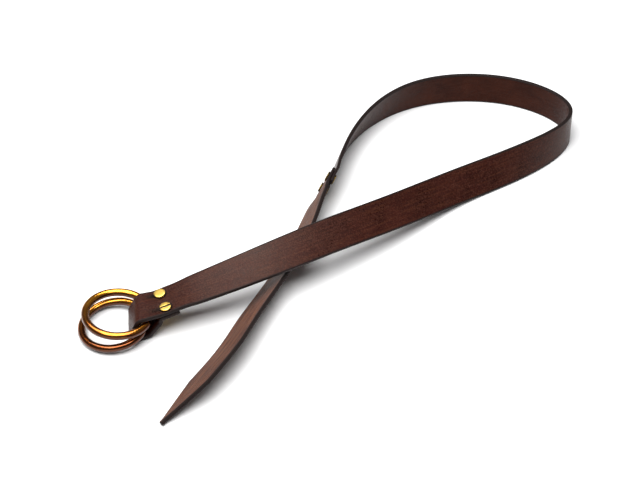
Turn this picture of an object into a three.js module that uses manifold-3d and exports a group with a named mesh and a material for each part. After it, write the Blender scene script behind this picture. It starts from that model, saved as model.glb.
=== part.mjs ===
// A leather ring belt lying on a table in one open loop. One end of the strap is folded back
// round two loose brass rings, and a pointed tail strap is lapped onto the other end.
// Millimetres, +Z up, resting on z = 0. +X runs along the belt from the rings to the bend.

import * as THREE from 'three';
import { mergeVertices } from 'three/addons/utils/BufferGeometryUtils.js';
import Module from 'manifold-3d';

const wasm = await Module();
wasm.setup();

// Driving sizes
const strap = { width: 32, thickness: 3.4, edgeBevel: 0.7, layerGap: 0.3, sectionStep: 8 };
const fold = { flap: 11, skew: 0.26, skewStart: -4, skewEnd: -12, arcStep: 0.3, cavityGap: 0.35 };
const lap = { start: 788.5, length: 15, thickness: 2.6, skive: 25 };
const tail = { end: 1109, taper: 44, tipWidth: 4, tipLength: 4.5 };
const ring = { radius: 27.5, wireRadius: 3.5, sides: 14, steps: 64 };
const stud = {
  headRadius: 5, headHeight: 1.2, rimDrop: 0.35, barrelRadius: 2.5, boreRadius: 1.9,
  shankRadius: 1.6, clearance: 0.3, slotWidth: 1.6, slotDepth: 0.6, spread: 9, sides: 20,
};

// The strap's path. Each row is a place that the middle of the strap passes through: its x and y,
// how far the width leans from upright towards the inside of the loop, in degrees, how high the
// lowest edge is above the table, and which layer lies on the path, 0 the long strap, 1 the tail.
// The lift is that of a strap of full width, so it is negative at the last row, where the tail is
// cut narrow and its tip lies on the table.
const pathRows = [
  { x: -134, y: -102, lean: 93, lift: 20.4, layer: 0 },
  { x: -63, y: -73, lean: 75.5, lift: 28.3, layer: 0 },
  { x: 5, y: -33, lean: 60.5, lift: 25, layer: 0 },
  { x: 68, y: 12, lean: 53, lift: 14, layer: 0 },
  { x: 129, y: 59, lean: 43, lift: 1.6, layer: 0 },
  { x: 196, y: 97.5, lean: 23.5, lift: 0.2, layer: 0 },
  { x: 239.5, y: 149.5, lean: -0.5, lift: 0, layer: 0 },
  { x: 185, y: 197.5, lean: -2.5, lift: 0, layer: 0 },
  { x: 92.5, y: 192, lean: 1, lift: 0.1, layer: 0 },
  { x: 34, y: 135.3, lean: 17.2, lift: 0.35, layer: 0 },
  { x: 14.8, y: 78.7, lean: 17.4, lift: 1.6, layer: 0 },
  { x: 2.7, y: 43.1, lean: 28, lift: 1.9, layer: 1 },
  { x: -21.4, y: -32.4, lean: 39.6, lift: 0.3, layer: 1 },
  { x: -55.9, y: -107.6, lean: 45, lift: 1.5, layer: 1 },
  { x: -79.2, y: -158.8, lean: 47, lift: 3.5, layer: 1 },
  { x: -131.1, y: -226.8, lean: 54.4, lift: -9.4, layer: 1 },
];

// The rings: middle, and how far each is tipped about +Y and about +X, in degrees
const rings = [
  { name: 'ring_upper', x: -171.3, y: -110, z: 17.1, tipY: 4.4, tipX: -3 },
  { name: 'ring_lower', x: -175.5, y: -112, z: 6.09, tipY: -5.4, tipX: 1 },
];

const brass = { color: 0xb5702a, roughness: 0.28, metalness: 1 };
const gold = { color: 0xd8b04a, roughness: 0.3, metalness: 1 };
const leather = { color: 0x4a2c22, roughness: 0.55, metalness: 0 };

const layerPitch = strap.thickness + strap.layerGap;
const lapEnd = lap.start + lap.length;
const lapMiddle = lap.start + lap.length / 2;

// Stretches that studs hold flat, and how far the strap takes to settle to its path past them
const heldFlat = [
  { middle: 0, half: fold.flap, settle: 20 },
  { middle: lapMiddle, half: lap.length / 2, settle: 14 },
];

const radians = THREE.MathUtils.degToRad;
const up = new THREE.Vector3(0, 0, 1);

// Natural cubic spline through evenly numbered values, returned as a function of row number
function naturalSpline(values) {
  const count = values.length;
  const bend = new Array(count).fill(0);
  const factor = new Array(count).fill(0);
  for (let i = 1; i < count - 1; i += 1) {
    const pivot = 4 - factor[i - 1];
    factor[i] = 1 / pivot;
    bend[i] = (6 * (values[i + 1] - 2 * values[i] + values[i - 1]) - bend[i - 1]) / pivot;
  }
  for (let i = count - 2; i > 0; i -= 1) bend[i] -= factor[i] * bend[i + 1];
  return (position) => {
    const i = Math.min(Math.floor(position), count - 2);
    const b = position - i;
    const a = 1 - b;
    return a * values[i] + b * values[i + 1]
      + ((a ** 3 - a) * bend[i] + (b ** 3 - b) * bend[i + 1]) / 6;
  };
}

// Thickness of both straps at a length: they are skived thinner where they lap
function thicknessAt(length) {
  const away = Math.abs(length - lapMiddle);
  const share = THREE.MathUtils.smoothstep(away, lap.length / 2, lap.length / 2 + lap.skive);
  return THREE.MathUtils.lerp(lap.thickness, strap.thickness, share);
}

// Distance between the middles of two layers, one on the other, at a length
const pitchAt = (length) => thicknessAt(length) + strap.layerGap;

// Height of the path at a row, so that the lowest edge of the layer that counts is at its lift
function rowHeight({ lean, lift, layer }) {
  const sine = Math.sin(radians(lean));
  const cosine = Math.cos(radians(lean));
  const corners = strapSection(strap.width).map(([w, t]) => w * cosine + t * sine);
  return lift - Math.min(...corners) - layer * layerPitch * sine;
}

const splines = {
  x: naturalSpline(pathRows.map((row) => row.x)),
  y: naturalSpline(pathRows.map((row) => row.y)),
  z: naturalSpline(pathRows.map(rowHeight)),
  lean: naturalSpline(pathRows.map((row) => row.lean)),
};

const pointAt = (row) => new THREE.Vector3(splines.x(row), splines.y(row), splines.z(row));

// Row number reached after a given length of strap, measured from the first row
const finePath = { rows: [0], lengths: [0] };
const fineSteps = 1400;
for (let i = 1; i <= fineSteps; i += 1) {
  const row = (i * (pathRows.length - 1)) / fineSteps;
  const stride = pointAt(row).distanceTo(pointAt(finePath.rows[i - 1]));
  finePath.rows.push(row);
  finePath.lengths.push(finePath.lengths[i - 1] + stride);
}

function rowAtLength(length) {
  let i = 1;
  while (i < fineSteps && finePath.lengths[i] < length) i += 1;
  const from = finePath.lengths[i - 1];
  const share = (length - from) / (finePath.lengths[i] - from);
  return finePath.rows[i - 1] + share * (finePath.rows[i] - finePath.rows[i - 1]);
}

// Lean of the strap at a length. It keeps still where studs hold two layers flat, and takes up
// the path's lean over the next stretch.
function leanAt(length) {
  let eased = length;
  for (const { middle, half, settle } of heldFlat) {
    const away = length - middle;
    const share = THREE.MathUtils.smoothstep(Math.abs(away), half, half + settle);
    if (share < 1) eased = middle + away * share;
  }
  return radians(splines.lean(rowAtLength(eased)));
}

// Frame of the strap: along it, across its width, and out of its grain side. The first stretch,
// under the flap, is held straight and flat by the studs.
function frameAt(length) {
  const held = length <= fold.flap;
  const row = held ? 0 : rowAtLength(length);
  const nudge = 0.01;
  const first = Math.max(row - nudge, 0);
  const along = pointAt(first + 2 * nudge).sub(pointAt(first)).normalize();
  const inward = new THREE.Vector3().crossVectors(up, along).normalize();
  const upright = new THREE.Vector3().crossVectors(along, inward);
  const lean = leanAt(length);
  const across = upright.multiplyScalar(Math.cos(lean)).addScaledVector(inward, Math.sin(lean));
  const out = new THREE.Vector3().crossVectors(along, across);
  const origin = pointAt(row).addScaledVector(along, held ? length : 0);
  return { origin, along, across, out };
}

// Section of the strap: a rectangle with bevelled corners, in the frame's width and thickness
function strapSection(width, thickness = strap.thickness) {
  const w = width / 2;
  const t = thickness / 2;
  const bevel = Math.min(strap.edgeBevel, w / 2);
  return [
    [w, -t + bevel], [w, t - bevel], [w - bevel, t], [-w + bevel, t],
    [-w, t - bevel], [-w, -t + bevel], [-w + bevel, -t], [w - bevel, -t],
  ];
}

// Closed mesh through a row of sections with the same number of points. The two halves of a
// section are split along matching diagonals, so that a twisted strap keeps its thickness.
function loft(sections) {
  const sides = sections[0].length;
  const positions = sections.flat().flatMap((point) => point.toArray());
  const triangles = [];
  for (let i = 0; i < sections.length - 1; i += 1) {
    for (let j = 0; j < sides; j += 1) {
      const a = i * sides + j;
      const b = i * sides + ((j + 1) % sides);
      if (j < sides / 2) triangles.push(a, b, b + sides, a, b + sides, a + sides);
      else triangles.push(a, b, a + sides, b, b + sides, a + sides);
    }
  }
  const last = (sections.length - 1) * sides;
  for (let j = 1; j < sides - 1; j += 1) {
    triangles.push(0, j + 1, j, last, last + j, last + j + 1);
  }
  const geometry = new THREE.BufferGeometry();
  geometry.setAttribute('position', new THREE.Float32BufferAttribute(positions, 3));
  geometry.setIndex(triangles);
  return geometry;
}

// Section at a length along the path, a number of layers off it towards the grain side. It faces
// 1 for grain out, or -1 where the strap comes back turned over.
function sectionOnPath(length, layer, width, facing = 1) {
  const { origin, across, out } = frameAt(length);
  return strapSection(width, thicknessAt(length)).map(([w, t]) => origin.clone()
    .addScaledVector(across, w)
    .addScaledVector(out, layer * pitchAt(length) + t * facing));
}

// Band pulled round a row of round bends, each with a centre, a radius and a turn, +1 to the
// left, -1 to the right. It leaves the first bend and joins the last at the given headings.
function bandAround(bends, startHeading, endHeading) {
  const headings = [startHeading];
  for (let i = 0; i < bends.length - 1; i += 1) {
    const from = bends[i];
    const to = bends[i + 1];
    const span = Math.hypot(to.t - from.t, to.n - from.n);
    const bearing = Math.atan2(to.n - from.n, to.t - from.t);
    headings.push(bearing - Math.asin((to.turn * to.radius - from.turn * from.radius) / span));
  }
  headings.push(endHeading);
  const points = [];
  bends.forEach((bend, i) => {
    const circle = 2 * Math.PI;
    let sweep = (headings[i + 1] - headings[i]) % circle;
    if (bend.turn * sweep < 0) sweep += bend.turn * circle;
    const steps = Math.max(2, Math.ceil(Math.abs(sweep) / fold.arcStep));
    for (let k = 0; k <= steps; k += 1) {
      const heading = headings[i] + (sweep * k) / steps;
      points.push({
        t: bend.t + bend.turn * bend.radius * Math.sin(heading),
        n: bend.n - bend.turn * bend.radius * Math.cos(heading),
        heading,
      });
    }
  });
  return points;
}

// The fold, seen along the strap's width: t runs along the strap from the first row, and n out
// of its grain side. The band goes from the flap round both ring wires and back to the strap.
const wrapRadius = ring.wireRadius + fold.cavityGap + strap.thickness / 2;
const pinch = { t: -4.2, radius: 2 };
const foldBends = [
  { t: pinch.t, n: -layerPitch - pinch.radius, radius: pinch.radius, turn: 1 },
  { t: -11.9, n: -6, radius: wrapRadius, turn: -1 },
  { t: -17.6, n: -11.4, radius: wrapRadius, turn: -1 },
  { t: -25.8, n: -11.1, radius: wrapRadius, turn: -1 },
  { t: -19, n: -3, radius: wrapRadius, turn: -1 },
  { t: pinch.t, n: 2 * pinch.radius, radius: 2 * pinch.radius, turn: 1 },
];

function foldSections() {
  const { origin, along, across, out } = frameAt(0);
  return bandAround(foldBends, Math.PI, 0).map(({ t, n, heading }) => {
    const share = THREE.MathUtils.smoothstep(-t, -fold.skewStart, -fold.skewEnd);
    return strapSection(strap.width).map(([w, thick]) => origin.clone()
      .addScaledVector(along, t - thick * Math.sin(heading) + fold.skew * share * w)
      .addScaledVector(out, n + thick * Math.cos(heading))
      .addScaledVector(across, w));
  });
}

// Even steps from one length to another, both ends included
function steps(from, to) {
  const count = Math.max(1, Math.round((to - from) / strap.sectionStep));
  return Array.from({ length: count + 1 }, (_, i) => from + ((to - from) * i) / count);
}

// Solid of a geometry, placed by its matrix, for cutting
function solidOf(geometry) {
  const bare = geometry.clone();
  bare.deleteAttribute('normal');
  bare.deleteAttribute('uv');
  const merged = mergeVertices(bare, 1e-4);
  return new wasm.Manifold(new wasm.Mesh({
    numProp: 3,
    vertProperties: new Float32Array(merged.attributes.position.array),
    triVerts: new Uint32Array(merged.index.array),
  }));
}

function geometryOf(solid) {
  const mesh = solid.getMesh();
  const geometry = new THREE.BufferGeometry();
  geometry.setAttribute('position', new THREE.BufferAttribute(mesh.vertProperties, 3));
  geometry.setIndex(new THREE.BufferAttribute(mesh.triVerts, 1));
  geometry.computeVertexNormals();
  return geometry;
}

// Place of a stud: on the strap at a length and across it, between the outer layer and the one
// under it, its axis out of the grain side. The slotted head is on the grain side or on the other.
function studPlace({ length, across: acrossBy, outer, slotUp }) {
  const { origin, along, across, out } = frameAt(length);
  const centre = origin.clone().addScaledVector(across, acrossBy)
    .addScaledVector(out, (outer - 0.5) * pitchAt(length));
  const sign = slotUp ? 1 : -1;
  const basis = new THREE.Matrix4().makeBasis(
    along.clone().multiplyScalar(sign), across.clone(), out.clone().multiplyScalar(sign));
  return basis.setPosition(centre);
}

// Half of the stack that a stud clamps: two layers and the gap, with its own clearance
const halfStackAt = (length) => (thicknessAt(length) + pitchAt(length)) / 2 + stud.clearance;

function headProfile(halfStack) {
  const { headRadius, headHeight, rimDrop } = stud;
  return [
    [headRadius, halfStack],
    [headRadius, halfStack + headHeight - rimDrop],
    [headRadius - rimDrop, halfStack + headHeight],
    [0, halfStack + headHeight],
  ];
}

function lathe(profile) {
  const points = profile.map(([radius, height]) => new THREE.Vector2(radius, height));
  return new THREE.LatheGeometry(points, stud.sides).rotateX(Math.PI / 2);
}

// Slotted screw: a shank and a flat head with a slot, the head on +Z
function screwGeometry(halfStack) {
  const shankEnd = -halfStack + stud.clearance;
  const body = lathe([[0, shankEnd], [stud.shankRadius, shankEnd],
    [stud.shankRadius, halfStack], ...headProfile(halfStack)]);
  const slot = new THREE.BoxGeometry(2 * stud.headRadius + 2, stud.slotWidth, 2 * stud.slotDepth);
  slot.translate(0, 0, halfStack + stud.headHeight);
  return geometryOf(solidOf(body).subtract(solidOf(slot)));
}

// Post: a flat head and a hollow barrel that the screw turns into, the head on -Z
function postGeometry(halfStack) {
  const barrelEnd = halfStack - stud.clearance;
  const head = headProfile(halfStack).map(([radius, height]) => [radius, -height]).reverse();
  return lathe([...head,
    [stud.barrelRadius, -halfStack], [stud.barrelRadius, barrelEnd],
    [stud.boreRadius, barrelEnd], [stud.boreRadius, -halfStack], [0, -halfStack]]);
}

// The studs, each with the number of the outer layer that it goes through
const studs = [
  { name: 'fold_far', length: 1, across: stud.spread, outer: 0, slotUp: false },
  { name: 'fold_near', length: 1, across: -stud.spread, outer: 0, slotUp: true },
  { name: 'splice_far', length: lapMiddle, across: stud.spread, outer: 1, slotUp: true },
  { name: 'splice_near', length: lapMiddle, across: -stud.spread, outer: 1, slotUp: true },
];

// Strap with the studs' holes cut through it
function drilled(geometry) {
  let solid = solidOf(geometry);
  for (const place of studs) {
    const hole = new THREE.CylinderGeometry(
      stud.barrelRadius + stud.clearance, stud.barrelRadius + stud.clearance,
      4 * halfStackAt(place.length), stud.sides);
    hole.rotateX(Math.PI / 2);
    hole.applyMatrix4(studPlace(place));
    solid = solid.subtract(solidOf(hole));
  }
  return geometryOf(solid);
}

function mainStrapGeometry() {
  const flap = [fold.flap, 0]
    .map((length) => sectionOnPath(length, -1, strap.width, -1));
  const run = [0, ...steps(fold.flap, lap.start), ...steps(lap.start, lapEnd).slice(1)]
    .map((length) => sectionOnPath(length, 0, strap.width));
  return drilled(loft([...flap, ...foldSections(), ...run]));
}

function tailWidth(length) {
  const left = tail.end - tail.tipLength - length;
  const share = THREE.MathUtils.clamp(left / tail.taper, 0, 1);
  return tail.tipWidth + (strap.width - tail.tipWidth) * share;
}

function tailStrapGeometry() {
  const tipStart = tail.end - tail.tipLength;
  const taperStart = tipStart - tail.taper;
  const lengths = [
    ...steps(lap.start, lapEnd), ...steps(lapEnd, taperStart).slice(1),
    ...steps(taperStart, tipStart).slice(1), tail.end,
  ];
  return drilled(loft(lengths.map((length) => sectionOnPath(length, 1, tailWidth(length)))));
}

function named(name, geometry, look) {
  const mesh = new THREE.Mesh(geometry, new THREE.MeshStandardMaterial(look));
  mesh.name = name;
  return mesh;
}

function ringMesh({ name, x, y, z, tipY, tipX }) {
  const mesh = named(name, new THREE.TorusGeometry(
    ring.radius, ring.wireRadius, ring.sides, ring.steps), brass);
  mesh.position.set(x, y, z);
  mesh.rotation.set(radians(tipX), radians(tipY), 0, 'YXZ');
  return mesh;
}

const belt = new THREE.Group();
belt.add(named('main_strap', mainStrapGeometry(), leather));
belt.add(named('tail_strap', tailStrapGeometry(), leather));
for (const place of rings) belt.add(ringMesh(place));
for (const place of studs) {
  const halfStack = halfStackAt(place.length);
  const pieces = { post: postGeometry(halfStack), screw: screwGeometry(halfStack) };
  for (const [part, geometry] of Object.entries(pieces)) {
    const mesh = named(`${place.name}_${part}`, geometry, gold);
    mesh.applyMatrix4(studPlace(place));
    belt.add(mesh);
  }
}

// The middle of the belt's footprint is put over the origin, with its lowest point on z = 0
const box = new THREE.Box3().setFromObject(belt, true);
const footprint = box.getCenter(new THREE.Vector3()).setZ(box.min.z);
for (const mesh of belt.children) mesh.position.sub(footprint);

export default belt;
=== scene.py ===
"""The look of the ring belt: leather strap, pointed tail, two round brass rings and four studs.

Lengths are in millimetres in the tables and functions, and in metres from piece_from on.
"""
import math

import bpy
from mathutils import Matrix, Vector


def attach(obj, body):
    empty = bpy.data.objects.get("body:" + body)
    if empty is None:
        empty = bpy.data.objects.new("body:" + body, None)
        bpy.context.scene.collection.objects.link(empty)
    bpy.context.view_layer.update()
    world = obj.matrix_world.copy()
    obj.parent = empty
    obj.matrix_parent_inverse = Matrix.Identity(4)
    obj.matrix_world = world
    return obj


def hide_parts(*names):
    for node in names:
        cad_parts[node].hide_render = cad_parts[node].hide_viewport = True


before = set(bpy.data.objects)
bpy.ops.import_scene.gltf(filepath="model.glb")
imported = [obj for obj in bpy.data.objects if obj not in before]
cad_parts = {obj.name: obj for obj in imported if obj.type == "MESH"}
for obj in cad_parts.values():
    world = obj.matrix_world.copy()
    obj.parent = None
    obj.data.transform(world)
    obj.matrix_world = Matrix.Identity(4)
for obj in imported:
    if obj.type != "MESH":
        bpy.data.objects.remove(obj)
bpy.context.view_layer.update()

MM = 0.001

# From the frame of the tables below to the part's own frame
SHIFT = Vector((-17.479, 7.838, 0.080))

# The strap's path. Each row is a place that the middle of the strap passes through: its x and y,
# how far the width leans from upright towards the inside of the loop, in degrees, how high the
# lowest edge is above the table, and which layer lies on the path, 0 the long strap, 1 the tail.
# The lift is that of a strap of full width, so it is negative at the last row, where the tail is
# cut narrow and its tip lies on the table.
PATH_ROWS = [
    (-134, -102, 93, 20.4, 0),
    (-63, -73, 75.5, 28.3, 0),
    (5, -33, 60.5, 25, 0),
    (68, 12, 53, 14, 0),
    (129, 59, 43, 1.6, 0),
    (196, 97.5, 23.5, 0.2, 0),
    (239.5, 149.5, -0.5, 0, 0),
    (185, 197.5, -2.5, 0, 0),
    (92.5, 192, 1, 0.1, 0),
    (34, 135.3, 17.2, 0.35, 0),
    (14.8, 78.7, 17.4, 1.6, 0),
    (2.7, 43.1, 28, 1.9, 1),
    (-21.4, -32.4, 39.6, 0.3, 1),
    (-55.9, -107.6, 45, 1.5, 1),
    (-79.2, -158.8, 47, 3.5, 1),
    (-131.1, -226.8, 54.4, -9.4, 1),
]

# The path is measured in this many straight steps, and its direction over this much of a row
FINE_STEPS = 1400
NUDGE = 0.01

# Strap: its size and bevel as a solid, and how much thicker its look is
WIDTH = 32
THICKNESS = 3.4
BEVEL = 0.7
LAYER_GAP = 0.3
LAYER_PITCH = THICKNESS + LAYER_GAP
SWELL = 0.16

# Rounding of the strap's edges and of its cut ends, and the most that it takes of half a section
EDGE_ROUND = 1.0
CUT_ROUND = 0.5
MOST_ROUND = 0.8
CORNER_STEPS = 4
FACE_STEPS = 22

# The black border of an edge, measured in from it: where it starts, and where it is full. A cut
# end is burnished by the last number times how much its section is drawn in.
BORDER_START = 1.9
BORDER_FULL = 0.6
CUT_BURNISH = 3

# Share of half the thickness, from the middle out, where the flesh side starts
FLESH_FROM = 0.6

# Steps between sections: on the run, where studs hold the strap, on the point and at its tip.
# The even steps stop at a margin from a cut end.
RUN_STEP = 2
HELD_STEP = 1.2
TAPER_STEP = 1.5
TIP_STEP = 1
CUT_MARGIN = 1.5

# Lengths along the path: end of the flap, lap of the two straps, and the tail's point
FLAP = 11
LAP_START = 788.5
LAP_END = 803.5
LAP_MIDDLE = (LAP_START + LAP_END) / 2
LAP_HALF = (LAP_END - LAP_START) / 2
TAIL_END = 1109
TAPER = 44
TIP_LENGTH = 4.5
TIP_WIDTH = 4

# Stretches that studs hold flat, as (middle, half, how far the strap takes to settle past it)
HELD_FLAT = [(0, FLAP, 20), (LAP_MIDDLE, LAP_HALF, 14)]

# Thickness of a strap where the two lap, and how far it takes to thin down to it
LAP_THICKNESS = 2.6
SKIVE = 25

# Rings: name, body, middle, tips about +Y and +X in degrees, and how brown the brass has turned
RINGS = [
    ("ring_upper", "upper_ring", (-171.3, -110, 17.1), 4.4, -3, 0.4),
    ("ring_lower", "lower_ring", (-175.5, -112, 6.09), -5.4, 1, 0.65),
]
RING_RADIUS = 27.5
WIRE_RADIUS = 3.5
RING_STEPS = 180
WIRE_SIDES = 36

# Unevenness of the wire: how much it is thinned, and its waves as (height, count round the ring,
# count round the wire). A ring is browner towards -Y, and brighter towards +Y, by NEAR_AGEING.
WIRE_THINNING = 0.06
WIRE_WAVES = [(0.035, 5, 2), (0.025, 11, -1)]
NEAR_AGEING = 0.3

# Fold round the rings: bends as (t along the strap, n out of it, radius, turn)
CAVITY_GAP = 0.35
WRAP = WIRE_RADIUS + CAVITY_GAP + THICKNESS / 2
PINCH = -4.2
PINCH_RADIUS = 2
FOLD_BENDS = [
    (PINCH, -LAYER_PITCH - PINCH_RADIUS, PINCH_RADIUS, 1),
    (-11.9, -6, WRAP, -1),
    (-17.6, -11.4, WRAP, -1),
    (-25.8, -11.1, WRAP, -1),
    (-19, -3, WRAP, -1),
    (PINCH, 2 * PINCH_RADIUS, 2 * PINCH_RADIUS, 1),
]
FOLD_STEP = 0.09

# The fold lies askew across the strap, from this far behind the studs until it is full
FOLD_SKEW = 0.26
SKEW_FROM = 4
SKEW_TO = 12

# Studs: name, length along the path, place across it, number of the outer layer, slot on top
STUDS = [
    ("fold_far", 1, 9, 0, False),
    ("fold_near", 1, -9, 0, True),
    ("splice_far", LAP_MIDDLE, 9, 1, True),
    ("splice_near", LAP_MIDDLE, -9, 1, True),
]
BARREL_RADIUS = 2.5
BORE_RADIUS = 1.9
SHANK_RADIUS = 1.6
HOLE_RADIUS = 2.8
HOLE_SIDES = 32
HOLE_DEPTH = 24
STUD_SIDES = 64

# A profile stops just off the axis, where a flat cap closes it
AXIS_RADIUS = 0.15

# Stud heads: heights are above the leather, and the crown is how far the middle stands proud
HEAD_RADIUS = 5
HEAD_TOP = 1.5
HEAD_FOOT = -0.15
FOOT_INSET = 0.35
RIM_ROUND = 0.4
CROWN = 0.12
CROWN_RADII = (4.0, 3.2, 2.4, 1.6, 0.8, AXIS_RADIUS)
SLOT_WIDTH = 1.7
SLOT_DEPTH = 0.7

# Marks of a stud on the leather: the dimple's depth, its reach and how far inside the rim it is
# full, the heights off the stud's middle between which the leather's faces are, and where the
# painted shade round a head starts to fade and ends
DIMPLE = 0.35
DIMPLE_REACH = 8.2
DIMPLE_BRIM = 0.2
FACE_LOW = 2.2
FACE_HIGH = 6
RIM_SHADE_FULL = 5.3
RIM_SHADE_END = 6.8

# Leather of each strap: how streaky, how pale and how rough its grain is
LEATHERS = {"main_strap": (0.15, 0, 0.35), "tail_strap": (1, 0.45, 0.6)}

# How far the studs' brass is darkened: by tarnish, and at the splice partly as painted shade for
# heads that stand unlit
FOLD_AGE = 0.04
SPLICE_TARNISH_AND_SHADE = 0.85

# Key light, in metres and watts, and the even light of the room
KEY_PLACE = Vector((-0.24, -0.1, 1.35))
KEY_AIM = Vector((-0.05, -0.05, 0))
KEY_WIDTH = 1.6
KEY_DEPTH = 1.4
KEY_POWER = 47
ROOM_LIGHT = 0.15

# Side of the square floor, in metres
FLOOR_SIZE = 8

# Camera, aimed at the origin of the tables' frame
CAMERA_PLACE = Vector((0, -1097, 1023))
CAMERA_LENS = 93.5
CAMERA_SENSOR = 36

UP = Vector((0, 0, 1))


def smooth(low, high, value):
    """0 below low, 1 above high, and an even rise between them."""
    share = min(max((value - low) / (high - low), 0), 1)
    return share * share * (3 - 2 * share)


def evenly(start, end, step):
    """Values from start to end, both included, in even steps of about the given size."""
    count = max(1, round(abs(end - start) / step))
    return [start + (end - start) * i / count for i in range(count + 1)]


def natural_spline(values):
    """Natural cubic spline through evenly numbered values, as a function of row number."""
    count = len(values)
    bend = [0.0] * count
    factor = [0.0] * count
    for i in range(1, count - 1):
        pivot = 4 - factor[i - 1]
        factor[i] = 1 / pivot
        change = values[i + 1] - 2 * values[i] + values[i - 1]
        bend[i] = (6 * change - bend[i - 1]) / pivot
    for i in range(count - 2, 0, -1):
        bend[i] -= factor[i] * bend[i + 1]

    def at(position):
        i = min(int(position), count - 2)
        b = position - i
        a = 1 - b
        curve = ((a**3 - a) * bend[i] + (b**3 - b) * bend[i + 1]) / 6
        return a * values[i] + b * values[i + 1] + curve

    return at


def row_height(row):
    """Height of the path at a row, so that the lowest edge of the row's layer is at its lift."""
    _, _, lean, lift, layer = row
    sine = math.sin(math.radians(lean))
    cosine = math.cos(math.radians(lean))
    w = WIDTH / 2
    t = THICKNESS / 2
    corners = [(w, t - BEVEL), (w - BEVEL, t)]
    low = min(
        a * x * cosine + b * y * sine for x, y in corners for a in (-1, 1) for b in (-1, 1)
    )
    return lift - low - layer * LAYER_PITCH * sine


def thickness_at(length):
    """Thickness of a strap's solid: full, but skived thinner where the two straps lap."""
    away = abs(length - LAP_MIDDLE)
    share = smooth(LAP_HALF, LAP_HALF + SKIVE, away)
    return LAP_THICKNESS + (THICKNESS - LAP_THICKNESS) * share


def pitch_at(length):
    """Distance between the middles of two layers, one on the other."""
    return thickness_at(length) + LAYER_GAP


def eased(length):
    """Length whose lean the strap has: it keeps still over each stretch that studs hold flat."""
    for middle, half, settle in HELD_FLAT:
        away = length - middle
        share = smooth(half, half + settle, abs(away))
        if share < 1:
            return middle + away * share
    return length


class StrapPath:
    """The line that the middle of the long strap follows, measured by length from row 0."""

    def __init__(self, rows):
        self.x = natural_spline([row[0] for row in rows])
        self.y = natural_spline([row[1] for row in rows])
        self.z = natural_spline([row_height(row) for row in rows])
        self.lean = natural_spline([row[2] for row in rows])
        self.rows = [i * (len(rows) - 1) / FINE_STEPS for i in range(FINE_STEPS + 1)]
        self.lengths = [0.0]
        for before, after in zip(self.rows, self.rows[1:]):
            self.lengths.append(self.lengths[-1] + (self.point(after) - self.point(before)).length)

    def point(self, row):
        return Vector((self.x(row), self.y(row), self.z(row)))

    def row_at(self, length):
        """Row number reached after a given length of strap."""
        i = 1
        while i < FINE_STEPS and self.lengths[i] < length:
            i += 1
        share = (length - self.lengths[i - 1]) / (self.lengths[i] - self.lengths[i - 1])
        return self.rows[i - 1] + share * (self.rows[i] - self.rows[i - 1])

    def frame(self, length):
        """Place on the strap, along it, across its width, and out of its grain side."""
        held = length <= FLAP
        row = 0 if held else self.row_at(length)
        first = max(row - NUDGE, 0)
        along = (self.point(first + 2 * NUDGE) - self.point(first)).normalized()
        inward = UP.cross(along).normalized()
        upright = along.cross(inward)
        lean = math.radians(self.lean(self.row_at(eased(length))))
        across = upright * math.cos(lean) + inward * math.sin(lean)
        origin = self.point(row) + along * (length if held else 0)
        return origin, along, across, along.cross(across)


PATH = StrapPath(PATH_ROWS)


def stud_place(length, across_by, outer, slot_up):
    """Matrix of a stud, its middle between the two layers and +Z out of its slotted head."""
    origin, along, across, out = PATH.frame(length)
    centre = origin + across * across_by + out * (outer - 0.5) * pitch_at(length)
    sign = 1 if slot_up else -1
    turned = Matrix((along * sign, across, out * sign)).transposed().to_4x4()
    return Matrix.Translation(centre) @ turned


STUD_PLACES = {name: stud_place(*sizes) for name, *sizes in STUDS}


def piece_from(name, rings, lengths, girths, marks, material, body, close=True):
    """Mesh through rings of points in mm, with its own lengths and girths in metres as UVs."""
    sides = len(rings[0])
    points = [(point + SHIFT) * MM for ring in rings for point in ring]
    faces = []
    uvs = []
    for i in range(len(rings) - 1):
        for j in range(sides):
            k = (j + 1) % sides
            faces.append((i * sides + j, i * sides + k, (i + 1) * sides + k, (i + 1) * sides + j))
            near, far = girths[j], girths[j + 1]
            for u, v in ((i, near), (i, far), (i + 1, far), (i + 1, near)):
                uvs.extend((lengths[u] * MM, v * MM))
    if close:
        last = (len(rings) - 1) * sides
        faces.append(tuple(range(sides - 1, -1, -1)))
        faces.append(tuple(range(last, last + sides)))
        for end in (0, -1):
            uvs.extend((lengths[end] * MM, girths[0] * MM) * sides)
    mesh = bpy.data.meshes.new(name)
    mesh.from_pydata(points, [], faces)
    mesh.uv_layers.new(name="strap").data.foreach_set("uv", uvs)
    for mark, values in marks.items():
        mesh.attributes.new(mark, "FLOAT", "POINT").data.foreach_set("value", values)
    mesh.polygons.foreach_set("use_smooth", [True] * len(faces))
    mesh.materials.append(material)
    piece = bpy.data.objects.new(name, mesh)
    bpy.context.scene.collection.objects.link(piece)
    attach(piece, body)
    return piece


def cut_away(piece, cutter):
    """Takes a cutter's shape out of a piece, and removes the cutter."""
    cut = piece.modifiers.new("cut", "BOOLEAN")
    cut.operation = "DIFFERENCE"
    cut.solver = "EXACT"
    cut.object = cutter
    bpy.context.view_layer.update()
    graph = bpy.context.evaluated_depsgraph_get()
    mesh = bpy.data.meshes.new_from_object(piece.evaluated_get(graph))
    piece.modifiers.clear()
    piece.data = mesh
    bpy.data.objects.remove(cutter)


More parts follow.
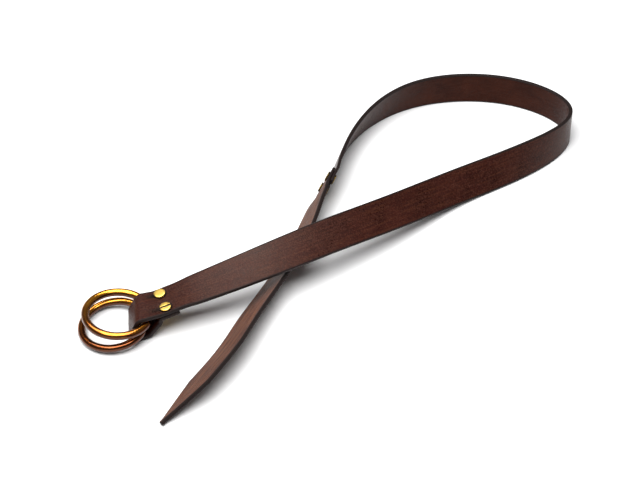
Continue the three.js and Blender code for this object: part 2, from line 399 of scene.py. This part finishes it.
def strap_section(width, thickness, rounding):
    """Points round a strap's section: (w, t, how near the edge, 1 on the flesh side)."""
    half = width / 2
    deep = thickness / 2
    rounding = min(rounding, half * MOST_ROUND, deep * MOST_ROUND)
    points = []

    def corner(side_w, side_t, first):
        for k in range(CORNER_STEPS + 1):
            turn = math.radians(first + 90 * k / CORNER_STEPS)
            w = side_w * (half - rounding) + rounding * math.cos(turn)
            t = side_t * (deep - rounding) + rounding * math.sin(turn)
            points.append((w, t))

    def face(side):
        for k in range(1, FACE_STEPS):
            points.append((side * (half - rounding) * (1 - 2 * k / FACE_STEPS), side * deep))

    corner(1, 1, 0)
    face(1)
    corner(-1, 1, 90)
    corner(-1, -1, 180)
    face(-1)
    corner(1, -1, 270)
    return [
        (
            w,
            t,
            smooth(half - BORDER_START, half - BORDER_FULL, abs(w)),
            1.0 if t < -deep * FLESH_FROM else 0.0,
        )
        for w, t in points
    ]


def pressed(point):
    """A point of the leather drawn in under the stud heads, and its share of the painted shade
    round a rim.
    """
    for place in STUD_PLACES.values():
        axis = place.col[2].to_3d()
        away = point - place.translation
        height = away.dot(axis)
        reach = (away - axis * height).length
        if FACE_LOW < abs(height) < FACE_HIGH and reach < DIMPLE_REACH:
            sunk = DIMPLE * (1 - smooth(HEAD_RADIUS - DIMPLE_BRIM, DIMPLE_REACH, reach))
            near_rim = 1 - smooth(RIM_SHADE_FULL, RIM_SHADE_END, reach)
            return point - axis * math.copysign(sunk, height), near_rim
    return point, 0.0


def strap_piece(name, stations, material):
    """Strap through stations: (length, width, drawn in, function from (w, t) to a point)."""
    rings, lengths, edge, flesh, rim_shade = [], [], [], [], []
    for length, width, inset, place in stations:
        thickness = thickness_at(length) + SWELL
        section = strap_section(width - 2 * inset, thickness - 2 * inset, EDGE_ROUND)
        burnished = min(1, inset * CUT_BURNISH)
        ring = []
        for w, t, near_edge, on_flesh in section:
            point, near_rim = pressed(place(w, t))
            ring.append(point)
            edge.append(max(near_edge, burnished))
            flesh.append(on_flesh)
            rim_shade.append(near_rim)
        rings.append(ring)
        lengths.append(length)
    full = strap_section(WIDTH, THICKNESS + SWELL, EDGE_ROUND)
    girths = [0.0]
    for here, after in zip(full, full[1:] + full[:1]):
        girths.append(girths[-1] + math.hypot(after[0] - here[0], after[1] - here[1]))
    marks = {"edge": edge, "flesh": flesh, "rim_shade": rim_shade}
    return piece_from(name, rings, lengths, girths, marks, material, "belt")


def cut_end(end, direction):
    """Places that round off a cut end: (length, how much the section is drawn in)."""
    turns = [math.radians(angle) for angle in (0, 25, 50, 75)]
    return [
        (end + direction * CUT_ROUND * (math.sin(turn) - 1), CUT_ROUND * (1 - math.cos(turn)))
        for turn in turns
    ]


def on_path(length, layer, facing=1):
    """Function from a section's (w, t) to a point on the path, a number of layers off it."""
    origin, _, across, out = PATH.frame(length)
    offset = layer * pitch_at(length)
    return lambda w, t: origin + across * w + out * (offset + t * facing)


def band_around(bends, start_heading, end_heading):
    """Band pulled round a row of bends, as (t, n, heading) from the first bend to the last."""
    headings = [start_heading]
    for (t0, n0, r0, turn0), (t1, n1, r1, turn1) in zip(bends, bends[1:]):
        span = math.hypot(t1 - t0, n1 - n0)
        bearing = math.atan2(n1 - n0, t1 - t0)
        headings.append(bearing - math.asin((turn1 * r1 - turn0 * r0) / span))
    headings.append(end_heading)
    points = []
    for (t, n, radius, turn), first, last in zip(bends, headings, headings[1:]):
        sweep = math.fmod(last - first, 2 * math.pi)
        if turn * sweep < 0:
            sweep += turn * 2 * math.pi
        count = max(3, math.ceil(abs(sweep) / FOLD_STEP))
        for k in range(count + 1):
            heading = first + sweep * k / count
            place_t = t + turn * radius * math.sin(heading)
            place_n = n - turn * radius * math.cos(heading)
            points.append((place_t, place_n, heading))
    return points


def fold_stations():
    """Stations from the flap round both rings and back to the strap."""
    origin, along, across, out = PATH.frame(0)
    stations = []
    length = 0
    before = None
    for t, n, heading in band_around(FOLD_BENDS, math.pi, 0):
        skew = FOLD_SKEW * smooth(SKEW_FROM, SKEW_TO, -t)
        sine = math.sin(heading)
        cosine = math.cos(heading)

        def place(w, thick, t=t, n=n, skew=skew, sine=sine, cosine=cosine):
            ahead = t - thick * sine + skew * w
            return origin + along * ahead + out * (n + thick * cosine) + across * w

        if before:
            length += math.hypot(t - before[0], n - before[1])
        before = (t, n)
        stations.append((length, WIDTH, 0, place))
    total = stations[-1][0]
    return [(PINCH - total + length, *rest) for length, *rest in stations]


def main_strap(material):
    """The long strap, with its end turned back round the rings and cut square."""
    fold = fold_stations()
    flap = list(reversed(cut_end(FLAP, 1)))
    flap += [(length, 0) for length in evenly(FLAP - CUT_MARGIN, 0, HELD_STEP)]
    run = [(length, 0) for length in evenly(0, FLAP, HELD_STEP)]
    run += [(length, 0) for length in evenly(FLAP, LAP_END - CUT_MARGIN, RUN_STEP)[1:]]
    run += cut_end(LAP_END, 1)
    stations = [
        (fold[0][0] - length, WIDTH, inset, on_path(length, -1, -1)) for length, inset in flap
    ]
    stations += fold
    stations += [(length, WIDTH, inset, on_path(length, 0)) for length, inset in run]
    return strap_piece("main_strap_look", stations, material)


def tail_width(length):
    left = TAIL_END - TIP_LENGTH - length
    return TIP_WIDTH + (WIDTH - TIP_WIDTH) * min(max(left / TAPER, 0), 1)


def tail_strap(material):
    """The strap lapped on the outside of the long one, cut to a narrow point."""
    tip_start = TAIL_END - TIP_LENGTH
    taper_start = tip_start - TAPER
    lengths = evenly(LAP_START + CUT_MARGIN, taper_start, RUN_STEP)
    lengths += evenly(taper_start, tip_start, TAPER_STEP)[1:]
    lengths += evenly(tip_start, TAIL_END - TIP_STEP, TIP_STEP)[1:]
    places = list(reversed(cut_end(LAP_START, -1)))
    places += [(length, 0) for length in lengths]
    places += cut_end(TAIL_END, 1)
    stations = [
        (length, tail_width(length), inset, on_path(length, 1)) for length, inset in places
    ]
    return strap_piece("tail_strap_look", stations, material)


def drill(piece):
    """Cuts the studs' holes through a strap."""
    for place in STUD_PLACES.values():
        bpy.ops.mesh.primitive_cylinder_add(
            vertices=HOLE_SIDES, radius=HOLE_RADIUS * MM, depth=HOLE_DEPTH * MM,
            location=(0, 0, 0),
        )
        cutter = bpy.context.object
        moved = Matrix.Translation(SHIFT) @ place
        moved.translation *= MM
        cutter.data.transform(moved)
        cut_away(piece, cutter)


def wire_radius(angle, turn):
    """Radius of a ring's wire, a little uneven along it and round it."""
    waves = sum(
        height * math.sin(along * angle + around * turn) for height, along, around in WIRE_WAVES
    )
    return WIRE_RADIUS - WIRE_THINNING + waves


def ring_piece(name, body, centre, tip_y, tip_x, age, material):
    """A round ring bent from wire, with marks for its top, where light is painted, and how brown
    it is.
    """
    tip_about_y = Matrix.Rotation(math.radians(tip_y), 3, "Y")
    turned = tip_about_y @ Matrix.Rotation(math.radians(tip_x), 3, "X")
    rings, top, aged = [], [], []
    for i in range(RING_STEPS + 1):
        angle = 2 * math.pi * i / RING_STEPS
        outward = Vector((math.cos(angle), math.sin(angle), 0))
        ring = []
        for j in range(WIRE_SIDES):
            turn = 2 * math.pi * j / WIRE_SIDES
            radius = wire_radius(angle, turn)
            place = outward * (RING_RADIUS + radius * math.cos(turn))
            place.z = radius * math.sin(turn)
            ring.append(turned @ place + Vector(centre))
            # The top mark places painted light: lighter on top of the wire, painted shade on its
            # sides
            top.append(math.sin(turn))
            aged.append(age - NEAR_AGEING * math.sin(angle))
        rings.append(ring)
    lengths = [2 * math.pi * RING_RADIUS * i / RING_STEPS for i in range(RING_STEPS + 1)]
    girths = [2 * math.pi * WIRE_RADIUS * j / WIRE_SIDES for j in range(WIRE_SIDES + 1)]
    marks = {"top": top, "aged": aged}
    piece = piece_from(
        name + "_look", rings, lengths, girths, marks, material, body, close=False
    )
    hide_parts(name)


def lathe_piece(name, profile, place, material):
    """Round piece of a stud from its profile of (radius, height), placed on the strap."""
    rings = []
    for radius, height in profile:
        ring = []
        for j in range(STUD_SIDES):
            angle = 2 * math.pi * j / STUD_SIDES
            local = Vector((radius * math.cos(angle), radius * math.sin(angle), height))
            ring.append(place @ local)
        rings.append(ring)
    lengths = [0.0]
    for (r0, h0), (r1, h1) in zip(profile, profile[1:]):
        lengths.append(lengths[-1] + math.hypot(r1 - r0, h1 - h0))
    girths = [2 * math.pi * HEAD_RADIUS * j / STUD_SIDES for j in range(STUD_SIDES + 1)]
    piece = piece_from(name + "_look", rings, lengths, girths, {}, material, "belt")
    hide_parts(name)
    return piece


def cut_slot(piece, place, top, materials):
    """Cuts the slot across a screw's head, lined with the second of two materials."""
    bpy.ops.mesh.primitive_cube_add(size=1, location=(0, 0, 0))
    cutter = bpy.context.object
    cutter.data.transform(Matrix.Diagonal((2 * HEAD_RADIUS + 2, SLOT_WIDTH, 2 * SLOT_DEPTH, 1)))
    cutter.data.transform(Matrix.Translation((0, 0, top)))
    cutter.data.transform(Matrix.Scale(MM, 4) @ Matrix.Translation(SHIFT) @ place)
    piece.data.materials.append(materials[1])
    for material in materials:
        cutter.data.materials.append(material)
    for face in cutter.data.polygons:
        face.material_index = 1
    cut_away(piece, cutter)


def head_profile(face):
    """Head of a stud on leather whose face is at the given height: a low dome, softly rimmed."""
    top = face + HEAD_TOP
    rim_height = top - (CROWN + RIM_ROUND)
    profile = [(HEAD_RADIUS - FOOT_INSET, face + HEAD_FOOT)]
    for k in range(7):
        turn = math.radians(-90 + 22.5 * k)
        reach = HEAD_RADIUS - RIM_ROUND + RIM_ROUND * math.cos(turn)
        profile.append((reach, rim_height + RIM_ROUND * math.sin(turn)))
    for radius in CROWN_RADII:
        profile.append((radius, top - CROWN * (radius / HEAD_RADIUS) ** 2))
    return profile


def stud_pieces(name, length, materials):
    """The slotted screw and the hollow post of a stud, both lathed."""
    place = STUD_PLACES[name]
    face = (thickness_at(length) + pitch_at(length)) / 2
    foot = face + HEAD_FOOT
    head = head_profile(face)
    screw = [(AXIS_RADIUS, -face), (SHANK_RADIUS, -face), (SHANK_RADIUS, foot), *head]
    post = [
        (AXIS_RADIUS, -foot), (BORE_RADIUS, -foot), (BORE_RADIUS, face),
        (BARREL_RADIUS, face), (BARREL_RADIUS, -foot),
        *[(radius, -height) for radius, height in head],
    ]
    slotted = lathe_piece(name + "_screw", screw, place, materials[0])
    cut_slot(slotted, place, face + HEAD_TOP, materials)
    lathe_piece(name + "_post", post, place, materials[0])


class Nodes:
    """A material's nodes, added and joined in one call each."""

    def __init__(self, name):
        self.material = bpy.data.materials.new(name)
        self.material.use_nodes = True
        self.tree = self.material.node_tree
        self.tree.nodes.clear()

    def add(self, kind, inputs, **settings):
        node = self.tree.nodes.new(kind)
        for key, value in settings.items():
            setattr(node, key, value)
        for key, value in inputs.items():
            socket = node.inputs[key]
            if isinstance(value, bpy.types.NodeSocket):
                self.tree.links.new(value, socket)
            else:
                socket.default_value = value
        return node

    def shader(self, inputs):
        surface = self.add("ShaderNodeBsdfPrincipled", inputs)
        self.add("ShaderNodeOutputMaterial", {"Surface": surface.outputs[0]})
        return self.material

    def place(self):
        return self.add("ShaderNodeTexCoord", {}).outputs["Object"]

    def along(self, scale_along, scale_round):
        """Coordinates along a piece and round it, in metres times the given scales."""
        uv = self.add("ShaderNodeUVMap", {}, uv_map="strap").outputs[0]
        return self.add(
            "ShaderNodeMapping", {"Vector": uv, "Scale": (scale_along, scale_round, 1)}
        ).outputs[0]

    def noise(self, vector, scale, detail=3, rough=0.5, distortion=0):
        return self.add(
            "ShaderNodeTexNoise",
            {"Vector": vector, "Scale": scale, "Detail": detail, "Roughness": rough,
             "Distortion": distortion},
        ).outputs["Fac"]

    def cells(self, vector, scale):
        return self.add(
            "ShaderNodeTexVoronoi", {"Vector": vector, "Scale": scale}
        ).outputs["Distance"]

    def mark(self, name):
        return self.add("ShaderNodeAttribute", {}, attribute_name=name).outputs["Fac"]

    def range(self, value, low, high, to_low=0, to_high=1):
        """Value from low to high, mapped to another range and held inside it."""
        return self.add(
            "ShaderNodeMapRange",
            {"Value": value, "From Min": low, "From Max": high, "To Min": to_low,
             "To Max": to_high},
        ).outputs[0]

    def math(self, operation, a, b):
        return self.add("ShaderNodeMath", {0: a, 1: b}, operation=operation).outputs[0]

    def mix(self, share, first, second):
        return self.add(
            "ShaderNodeMix", {0: share, 6: first, 7: second}, data_type="RGBA"
        ).outputs[2]

    def tint(self, under, over, value, low, high, most=1):
        """One tone laid over another, from none where the value is low to most at high."""
        return self.mix(self.range(value, low, high, 0, most), under, over)

    def bump(self, height, distance, strength, normal=None):
        inputs = {"Height": height, "Distance": distance, "Strength": strength}
        if normal:
            inputs["Normal"] = normal
        return self.add("ShaderNodeBump", inputs).outputs[0]


def colour(red, green, blue):
    return (red, green, blue, 1)


def grain_tone(n, place, mottle, grit, pores, streaks, pale):
    """Dark red-brown grain side: clouded, streaked along the strap, speckled and pored."""
    cloud = n.noise(place, 11, detail=2)
    streak = n.noise(n.along(26, 620), 1, detail=5, rough=0.7)
    deep = colour(0.014, 0.0018, 0.0013)
    warm = colour(0.031, 0.0046, 0.0029)
    clouded = colour(0.027, 0.0045, 0.0028)
    faded = colour(0.125, 0.043, 0.020)
    rubbed = colour(0.190, 0.070, 0.030)
    creased = colour(0.014, 0.004, 0.0025)
    dusty = colour(0.078, 0.028, 0.018)
    speck = colour(0.012, 0.004, 0.003)
    pore = colour(0.010, 0.004, 0.003)
    tone = n.tint(deep, warm, mottle, 0.3, 0.72)
    tone = n.tint(tone, clouded, cloud, 0.35, 0.7, 0.5)
    tone = n.mix(pale, tone, faded)
    tone = n.tint(tone, rubbed, streak, 0.47, 0.66, streaks)
    tone = n.tint(tone, creased, streak, 0.5, 0.3, streaks)
    tone = n.tint(tone, dusty, grit, 0.5, 0.68, 0.5)
    tone = n.tint(tone, speck, grit, 0.48, 0.34, 0.5)
    return n.tint(tone, pore, pores, 0.25, 0.0, 0.55)


def flesh_tone(n, mottle, fibre):
    """Browner flesh side, with fibres that run along the strap."""
    deep = colour(0.019, 0.0036, 0.0019)
    warm = colour(0.039, 0.0090, 0.0044)
    fibrous = colour(0.056, 0.018, 0.010)
    tone = n.tint(deep, warm, mottle, 0.35, 0.68)
    return n.tint(tone, fibrous, fibre, 0.45, 0.7, 0.45)


def leather_material(name, streaks, pale, matt):
    """Dark brown bridle leather: grain and flesh sides, and black burnished edges."""
    n = Nodes(name)
    place = n.place()
    mottle = n.noise(place, 38, detail=5, rough=0.6, distortion=0.4)
    fine = n.noise(place, 420, detail=4, rough=0.6)
    grit = n.noise(place, 800, detail=2)
    fibre = n.noise(n.along(60, 1500), 1, rough=0.6)
    pores = n.cells(place, 1500)
    on_flesh = n.mark("flesh")
    border = n.math("ADD", n.mark("edge"), n.range(fine, 0.3, 0.7, -0.12, 0.12))
    border = n.range(border, 0.3, 0.75)

    grain = grain_tone(n, place, mottle, grit, pores, streaks, pale)
    tone = n.mix(on_flesh, grain, flesh_tone(n, mottle, fibre))
    # Painted shade: the leather is darkened almost to black in a ring round each stud head
    tone = n.tint(tone, colour(0.002, 0.0012, 0.001), n.mark("rim_shade"), 0.1, 0.8, 0.92)
    tone = n.mix(border, tone, colour(0.013, 0.0085, 0.0080))

    rough = n.math("ADD", n.range(mottle, 0.3, 0.7, -0.05, 0.05), matt)
    rough = n.math("ADD", rough, n.range(grit, 0.35, 0.65, -0.06, 0.06))
    rough = n.math("MAXIMUM", rough, n.math("MULTIPLY", border, 0.5))
    shine = n.mix(on_flesh, colour(1, 0.82, 0.72), colour(0.22, 0.17, 0.14))
    shine = n.mix(border, shine, colour(0.55, 0.46, 0.43))

    height = n.math("ADD", n.range(pores, 0, 0.5, -0.5, 0), fine)
    height = n.math("ADD", height, n.math("MULTIPLY", fibre, 0.7))
    normal = n.bump(mottle, 0.0006, 0.35)
    normal = n.bump(height, 0.00028, 0.7, normal)
    return n.shader({
        "Base Color": tone, "Roughness": rough, "Normal": normal, "Specular IOR Level": 0.2,
        "Specular Tint": shine,
    })


def ring_material():
    """Brass with a copper and brown heat patina, painted lighter on top and in shade on its sides.
    """
    n = Nodes("ring_brass")
    place = n.place()
    patina = n.noise(place, 55, detail=4, rough=0.6, distortion=0.8)
    cloud = n.noise(place, 19, detail=2, distortion=0.5)
    brushed = n.noise(n.along(30, 900), 1, rough=0.6)
    fine = n.noise(place, 900)
    age = n.mark("aged")
    gold = colour(0.76, 0.31, 0.022)
    copper = colour(0.52, 0.150, 0.012)
    brown = colour(0.15, 0.036, 0.008)
    painted_side_shade = colour(0.070, 0.019, 0.006)
    coppery = n.math("ADD", age, n.range(patina, 0.3, 0.7, -0.35, 0.35))
    browned = n.math("ADD", age, n.range(cloud, 0.3, 0.7, -0.4, 0.4))
    # Painted light: the wire's top is painted bright and its sides in dark painted shade; the
    # patina only moves the line between them
    rubbed = n.math("ADD", n.mark("top"), n.range(patina, 0.3, 0.7, 0.22, -0.22))
    tone = n.tint(gold, copper, coppery, 0.2, 0.8)
    tone = n.tint(tone, brown, browned, 0.4, 0.95, 0.85)
    tone = n.tint(painted_side_shade, tone, rubbed, 0.3, 0.85)
    rough = n.range(patina, 0.3, 0.7, 0.15, 0.27)
    normal = n.bump(patina, 0.0012, 0.25)
    normal = n.bump(n.math("ADD", brushed, fine), 0.00004, 0.35, normal)
    return n.shader({
        "Base Color": tone, "Metallic": 1.0, "Roughness": rough, "Normal": normal,
        "Coat Weight": 0.4, "Coat Roughness": 0.08,
    })


def stud_material(name, age):
    """Pitted, rubbed yellow brass, darkened by age: tarnish, and at the splice painted shade too.
    """
    n = Nodes(name)
    place = n.place()
    cloud = n.noise(place, 350, rough=0.6)
    fine = n.noise(place, 2200, rough=0.6)
    tone = n.tint(colour(0.98, 0.70, 0.17), colour(0.90, 0.56, 0.10), cloud, 0.35, 0.7)
    # Darkening by age: tarnish, and where the age is high, as at the splice, partly painted shade
    tone = n.tint(tone, colour(0.050, 0.028, 0.018), cloud, 0.8, 0.5, age)
    rough = n.range(cloud, 0.3, 0.7, 0.36, 0.5)
    normal = n.bump(n.math("ADD", cloud, fine), 0.00012, 0.5)
    return n.shader({"Base Color": tone, "Metallic": 1.0, "Roughness": rough, "Normal": normal})


def slot_material():
    """Near-black, matt lining of the walls and bottom of a screw's slot."""
    n = Nodes("slot_brass")
    lining_noise = n.noise(n.place(), 900, rough=0.6)
    tone = n.tint(colour(0.006, 0.003, 0.002), colour(0.03, 0.014, 0.006), lining_noise, 0.3, 0.7)
    return n.shader({"Base Color": tone, "Metallic": 0.0, "Roughness": 0.8})


def floor_material():
    """Pale matt floor, faintly clouded."""
    n = Nodes("floor")
    cloud = n.noise(n.place(), 3, detail=2)
    tone = n.tint(colour(0.86, 0.86, 0.865), colour(0.88, 0.88, 0.88), cloud, 0.3, 0.7)
    return n.shader({"Base Color": tone, "Roughness": 0.9, "Specular IOR Level": 0.1})


def aimed(holder, place, aim):
    """Puts a light or a camera in its place, facing a point, and links it to the scene."""
    holder.location = place
    holder.rotation_euler = (aim - place).to_track_quat("-Z", "Y").to_euler()
    bpy.context.scene.collection.objects.link(holder)
    return holder


def set_floor():
    bpy.ops.mesh.primitive_plane_add(size=FLOOR_SIZE, location=(0, 0, 0))
    floor = bpy.context.object
    floor.name = "floor"
    floor.data.materials.append(floor_material())


def set_light():
    """One wide soft light above the belt, a little to the left, and an even, weaker room."""
    light = bpy.data.lights.new("key", "AREA")
    light.shape = "RECTANGLE"
    light.size = KEY_WIDTH
    light.size_y = KEY_DEPTH
    light.energy = KEY_POWER
    aimed(bpy.data.objects.new("key", light), KEY_PLACE, KEY_AIM)
    world = bpy.data.worlds.new("studio")
    world.use_nodes = True
    background = world.node_tree.nodes["Background"]
    background.inputs["Color"].default_value = colour(1, 1, 1)
    background.inputs["Strength"].default_value = ROOM_LIGHT
    bpy.context.scene.world = world
    bpy.context.scene.view_settings.view_transform = "Standard"


def set_camera():
    camera = bpy.data.cameras.new("camera")
    camera.sensor_width = CAMERA_SENSOR
    camera.lens = CAMERA_LENS
    camera.clip_end = 20
    holder = bpy.data.objects.new("camera", camera)
    aimed(holder, (CAMERA_PLACE + SHIFT) * MM, SHIFT * MM)
    bpy.context.scene.camera = holder


def dress():
    """Puts every piece of the belt in place of its plain solid."""
    for make, node in ((main_strap, "main_strap"), (tail_strap, "tail_strap")):
        piece = make(leather_material(node + "_leather", *LEATHERS[node]))
        drill(piece)
        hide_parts(node)
    brass = ring_material()
    for sizes in RINGS:
        ring_piece(*sizes, brass)
    slot = slot_material()
    bright = (stud_material("stud_brass", FOLD_AGE), slot)
    # The splice's studs are darkened: partly tarnish, partly painted shade for their unlit sides
    aged = (stud_material("stud_brass_tarnish_and_shade", SPLICE_TARNISH_AND_SHADE), slot)
    for name, length, *_ in STUDS:
        stud_pieces(name, length, aged if name.startswith("splice") else bright)


set_floor()
set_light()
set_camera()
dress()
